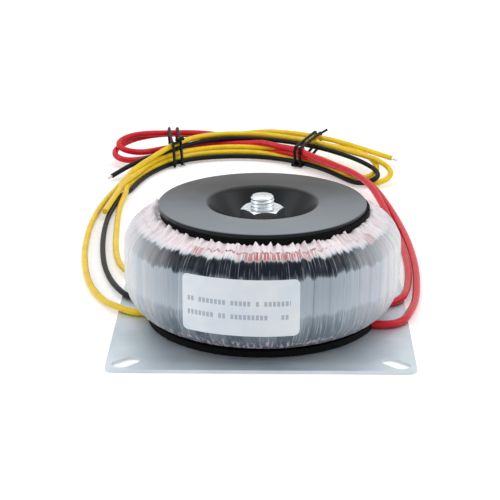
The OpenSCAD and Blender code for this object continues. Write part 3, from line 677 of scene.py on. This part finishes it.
def spinOutline(points, steps):
    # a closed outline in radius and height, turned all the way round
    bm = bmesh.new()
    verts = [bm.verts.new((r / 1000, 0, z / 1000)) for r, z in points]
    edges = [bm.edges.new((verts[i], verts[(i + 1) % len(verts)])) for i in range(len(verts))]
    bmesh.ops.spin(bm, geom=verts + edges, cent=(0, 0, 0), axis=(0, 0, 1), angle=2 * math.pi, steps=steps,
                   use_merge=True)
    bmesh.ops.remove_doubles(bm, verts=bm.verts, dist=1e-6)
    bmesh.ops.recalc_face_normals(bm, faces=bm.faces)
    for face in bm.faces:
        face.smooth = True
    for edge in bm.edges:
        edge.smooth = len(edge.link_faces) == 2 and edge.calc_face_angle() < math.radians(28)
    return bm


dishPiece = newPiece("dishPressing", spinOutline(dishOutline(dish), 144), satinBlack)
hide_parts("top_dish")

# bolt with a rolled thread above its plain shank and a hexagon head below, in mm
bolt = {"radius": 4.0, "seat": 9.0, "head": 5.3, "across": 13.0, "end": 44.0, "pitch": 1.25, "depth": 0.5,
        "threadFrom": 30.0, "tip": 0.7}

bm = bmesh.new()
count = int((bolt["end"] - bolt["threadFrom"]) / bolt["pitch"] * 9)
heights = np.linspace(bolt["threadFrom"], bolt["end"], count)
line = [bm.verts.new((bolt["radius"] / 1000, 0, z / 1000)) for z in heights]
edges = [bm.edges.new(pair) for pair in zip(line, line[1:])]
bmesh.ops.spin(bm, geom=line + edges, cent=(0, 0, 0), axis=(0, 0, 1), angle=2 * math.pi, steps=40, use_merge=True)
bmesh.ops.remove_doubles(bm, verts=bm.verts, dist=1e-7)
for vert in bm.verts:
    z, angle = vert.co.z * 1000, math.atan2(vert.co.y, vert.co.x)
    phase = (z / bolt["pitch"] - angle / (2 * math.pi)) % 1
    cut = bolt["depth"] * min(1, max(0, 1.25 - abs(phase - 0.5) * 3.2))
    cut *= min(1, max(0, (z - bolt["threadFrom"]) / 1.5))
    end = max(0, z - (bolt["end"] - bolt["tip"]))
    r = min(bolt["radius"] - cut, bolt["radius"] - end * 0.9) / 1000
    vert.co = Vector((math.cos(angle) * r, math.sin(angle) * r, vert.co.z))
for face in bm.faces:
    face.smooth = True
rims = [e for e in bm.edges if e.is_boundary]
bmesh.ops.holes_fill(bm, edges=rims, sides=0)
bmesh.ops.create_cone(bm, cap_ends=True, segments=40, radius1=bolt["radius"] / 1000, radius2=bolt["radius"] / 1000,
                      depth=(bolt["threadFrom"] + 0.01 - bolt["seat"]) / 1000,
                      matrix=Matrix.Translation((0, 0, (bolt["threadFrom"] + 0.01 + bolt["seat"]) / 2000)))
head = bmesh.ops.create_cone(bm, cap_ends=True, segments=6, radius1=bolt["across"] / math.sqrt(3) / 1000,
                             radius2=bolt["across"] / math.sqrt(3) / 1000, depth=bolt["head"] / 1000,
                             matrix=Matrix.Translation((0, 0, (bolt["seat"] - bolt["head"] / 2) / 1000)))
headEdges = list({e for v in head["verts"] for e in v.link_edges})
bmesh.ops.bevel(bm, geom=headEdges, offset=0.00035, affect="EDGES", segments=2, profile=0.5, material=-1)
bmesh.ops.recalc_face_normals(bm, faces=bm.faces)
boltPiece = newPiece("bolt", bm, zincFastener)
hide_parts("hex_bolt")
print("dish and bolt made")

# paper label with round corners, bent round the side, in mm and degrees
label = {"width": 39.0, "height": 19.0, "corner": 1.9, "sheet": 0.14, "turn": -8.5, "middle": 21.0, "radius": 47.2,
         "tilt": -0.1, "columns": 36}

bm = bmesh.new()
halfW, halfH = label["width"] / 2, label["height"] / 2
corners = [bm.verts.new((x, y, 0)) for x, y in ((-halfW, -halfH), (halfW, -halfH), (halfW, halfH), (-halfW, halfH))]
bm.faces.new(corners)
bmesh.ops.bevel(bm, geom=corners, offset=label["corner"], affect="VERTICES", segments=6, profile=0.5, material=-1)
for k in range(1, label["columns"]):
    cut = -halfW + label["width"] * k / label["columns"]
    bmesh.ops.bisect_plane(bm, geom=bm.verts[:] + bm.edges[:] + bm.faces[:], plane_co=(cut, 0, 0), plane_no=(1, 0, 0))
uvLayer = bm.loops.layers.uv.new("print")
for face in bm.faces:
    for loop in face.loops:
        loop[uvLayer].uv = (loop.vert.co.x / 10, loop.vert.co.y / 10)  # one unit is 10 mm
bmesh.ops.recalc_face_normals(bm, faces=bm.faces)
bmesh.ops.solidify(bm, geom=bm.faces[:], thickness=label["sheet"])
bmesh.ops.rotate(bm, verts=bm.verts, cent=(0, 0, 0), matrix=Matrix.Rotation(math.radians(label["tilt"]), 3, "Z"))
middle = math.radians(label["turn"] - 90)
deepest = min(v.co.z for v in bm.verts)
for vert in bm.verts:
    x, y, z = vert.co
    angle = middle + x / label["radius"]
    curl = 0.05 * noise.noise(Vector((x * 0.15, y * 0.2, 4)))
    r = label["radius"] + (z - deepest) + curl
    vert.co = Vector((math.cos(angle) * r, math.sin(angle) * r, label["middle"] + y)) / 1000
bmesh.ops.recalc_face_normals(bm, faces=bm.faces)

# matt coated paper, a cool white, with two rows of plain grey dashes where the print goes
labelPaper, tree, shader = newMaterial("coatedPaper", {"Roughness": 0.5, "IOR": 1.45, "Specular IOR Level": 0.35})
place = addNode(tree, "TexCoord")
split = addNode(tree, "SeparateXYZ", links={"Vector": place.outputs["UV"]})
fibre = addNode(tree, "TexNoise", {"Scale": 2200.0, "Detail": 3.0}, {"Vector": place.outputs["Object"]})  # 0.5 mm
shade = addNode(tree, "TexNoise", {"Scale": 120.0}, {"Vector": place.outputs["Object"]})  # 8 mm
paper = addNode(tree, "ValToRGB", {"stops": [(0.3, "#e9f2fd"), (0.7, "#f6fbff")]}, {"Fac": shade})
letter = addNode(tree, "Math", {"operation": "MULTIPLY"}, {0: split.outputs[0], 1: 7.4})  # 7.4 dashes in 10 mm
letterPart = addNode(tree, "Math", {"operation": "FRACT"}, {0: letter})
letterNumber = addNode(tree, "Math", {"operation": "FLOOR"}, {0: letter})
inked = addNode(tree, "Math", {"operation": "LESS_THAN"}, {0: letterPart, 1: 0.68})
within = addNode(tree, "Math", {"operation": "COMPARE"}, {0: split.outputs[0], 1: -0.05, 2: 1.7})
for row in (0.15, -0.31):
    number = addNode(tree, "Math", {"operation": "ADD"}, {0: letterNumber, 1: row * 100})
    chance = addNode(tree, "TexWhiteNoise", {"noise_dimensions": "1D"}, {"W": number})
    printed = addNode(tree, "Math", {"operation": "GREATER_THAN"}, {0: chance, 1: 0.16})  # one in six stays blank
    inRow = addNode(tree, "Math", {"operation": "COMPARE"}, {0: split.outputs[1], 1: row, 2: 0.08})
    ink = 0.7
    for part in (inked, within, printed, inRow):
        ink = addNode(tree, "Math", {"operation": "MULTIPLY"}, {0: part, 1: ink})
    paper = addNode(tree, "Mix", {"data_type": "RGBA"}, {0: ink, 6: paper, 7: "#98a3b4"})
bump = addNode(tree, "Bump", {"Strength": 0.1, "Distance": 0.0001}, {"Height": fibre.outputs[0]})
tree.links.new(paper.outputs[2], shader.inputs["Base Color"])
tree.links.new(bump.outputs[0], shader.inputs["Normal"])
labelPiece = newPiece("label", bm, labelPaper)
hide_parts("label")
print("label made")

# inside the wrap: wound strip core, film insulation and two windings of enamelled wire
# grain-oriented electrical steel: blue-grey edges of the strip, one line for each few turns
stripSteel, tree, shader = newMaterial("electricalSteelStrip", {"Metallic": 1.0, "Roughness": 0.42})
place = addNode(tree, "TexCoord")
strips = addNode(tree, "TexWave", {"wave_type": "RINGS", "rings_direction": "Z", "Scale": 250.0, "Distortion": 0.4},
                 {"Vector": place.outputs["Object"]})
tone = addNode(tree, "ValToRGB", {"stops": [(0.2, "#5d656e"), (0.8, "#8b939b")]}, {"Fac": strips.outputs["Fac"]})
tree.links.new(tone.outputs[0], shader.inputs["Base Color"])

# polyester insulating film: milky, clouded unevenly in patches of 6 mm
insulatingFilm, tree, shader = newMaterial("polyesterFilm", {"Roughness": 0.3, "IOR": 1.6})
place = addNode(tree, "TexCoord")
laps = addNode(tree, "TexNoise", {"Scale": 180.0, "Detail": 3.0}, {"Vector": place.outputs["Object"]})
tone = addNode(tree, "ValToRGB", {"stops": [(0.35, "#d9d6c8"), (0.65, "#efece0")]}, {"Fac": laps.outputs[0]})
tree.links.new(tone.outputs[0], shader.inputs["Base Color"])

# enamelled copper wire, 0.8 mm, side by side round the ring: reddish amber, with painted shade between the wires and a
# painted highlight along each wire's crown
enamelledWire, tree, shader = newMaterial("enamelledCopperWire", {"Metallic": 0.85, "Roughness": 0.28})
place = addNode(tree, "TexCoord")
wires = addNode(tree, "TexGradient", {"gradient_type": "RADIAL"}, {"Vector": place.outputs["Object"]})
around = addNode(tree, "Math", {"operation": "MULTIPLY"}, {0: wires.outputs[1], 1: 340.0})  # wires in the whole turn
strand = addNode(tree, "Math", {"operation": "FRACT"}, {0: around})
# painted shade and highlight across each wire: dark in the grooves between wires, bright on the crown
tone = addNode(tree, "ValToRGB", {"stops": [
    (0.0, "#4a1c10"), (0.2, "#a04a26"), (0.5, "#c9683a"), (0.8, "#a04a26"), (1.0, "#4a1c10")]}, {"Fac": strand})
tree.links.new(tone.outputs[0], shader.inputs["Base Color"])

finishes = {"base_plate": zincSheet, "hex_nut": zincFastener, "lower_pad": neoprene, "upper_pad": neoprene,
            "core": stripSteel, "core_insulation": insulatingFilm, "interlayer_insulation": insulatingFilm,
            "primary_winding": enamelledWire, "secondary_winding": enamelledWire,
            "hex_bolt": zincFastener, "top_dish": satinBlack, "outer_wrap": tapeFilm, "label": labelPaper,
            "lead_yellow_a": yellowPvc, "lead_yellow_b": yellowPvc, "lead_black": blackPvc, "lead_red_a": redPvc,
            "lead_red_b": redPvc, "lead_hank": yellowPvc, "lead_tips": tinnedCopper,
            "twist_tie_left": tiePlastic, "twist_tie_right": tiePlastic}
for name, material in finishes.items():
    for slotOfNode in cad[name].material_slots:
        slotOfNode.material = material
print("finishes given to", len(finishes), "nodes")

# studio: white card table, white room, soft boxes left, right and above
studio = {
    "room": 0.5, "card": "#f4f4f4", "cardGlow": 0.3, "aim": (0, 0.03, 0.02),
    "seenBy": ["Is Camera Ray", "Is Glossy Ray", "Is Transmission Ray"],
    "boxes": {  # place, size, watts
        "boxLeft": ((-0.75, -0.1, 0.5), 0.6, 2.4), "boxRight": ((0.75, -0.05, 0.5), 0.6, 2.4),
        "boxTop": ((0, 0.25, 1.0), 0.9, 2.6)},
}

world = bpy.data.worlds.new("studio")
bpy.context.scene.world = world
world.use_nodes = True
tree = world.node_tree
tree.nodes.clear()
path = addNode(tree, "LightPath")
seen = 0.0  # 1 for what the camera sees, also in a mirror or through glass
for ray in studio["seenBy"]:
    seen = addNode(tree, "Math", {"operation": "MAXIMUM"}, {0: path.outputs[ray], 1: seen})
strength = addNode(tree, "Math", {"operation": "MULTIPLY_ADD"}, {0: seen, 1: 1 - studio["room"], 2: studio["room"]})
sky = addNode(tree, "Background", {"Color": linear("#ffffff")}, {"Strength": strength})
addNode(tree, "OutputWorld", links={"Surface": sky.outputs[0]})

for name, (place, size, power) in studio["boxes"].items():
    data = bpy.data.lights.new(name, "AREA")
    data.size = size
    data.energy = power
    lamp = bpy.data.objects.new(name, data)
    lamp.location = place
    lamp.rotation_euler = (Vector(studio["aim"]) - Vector(place)).to_track_quat("-Z", "Y").to_euler()
    bpy.context.scene.collection.objects.link(lamp)

bm = bmesh.new()
bmesh.ops.create_grid(bm, x_segments=1, y_segments=1, size=3)
tableMesh = bpy.data.meshes.new("table")
bm.to_mesh(tableMesh)
bm.free()
table = bpy.data.objects.new("table", tableMesh)
table.location = (0, 0, -0.0002)
bpy.context.scene.collection.objects.link(table)
# matt white card: glows a little to the camera alone, so that only the shadows show on it
tableCard, tree, shader = newMaterial("whiteCard", {
    "Base Color": linear(studio["card"]), "Roughness": 0.9, "Specular IOR Level": 0.0,
    "Emission Color": linear("#ffffff")})
path = addNode(tree, "LightPath")
seen = 0.0
for ray in studio["seenBy"]:
    seen = addNode(tree, "Math", {"operation": "MAXIMUM"}, {0: path.outputs[ray], 1: seen})
glow = addNode(tree, "Math", {"operation": "MULTIPLY"}, {0: seen, 1: studio["cardGlow"]})
tree.links.new(glow.outputs[0], shader.inputs["Emission Strength"])
table.data.materials.append(tableCard)

bpy.context.scene.view_settings.view_transform = "Standard"
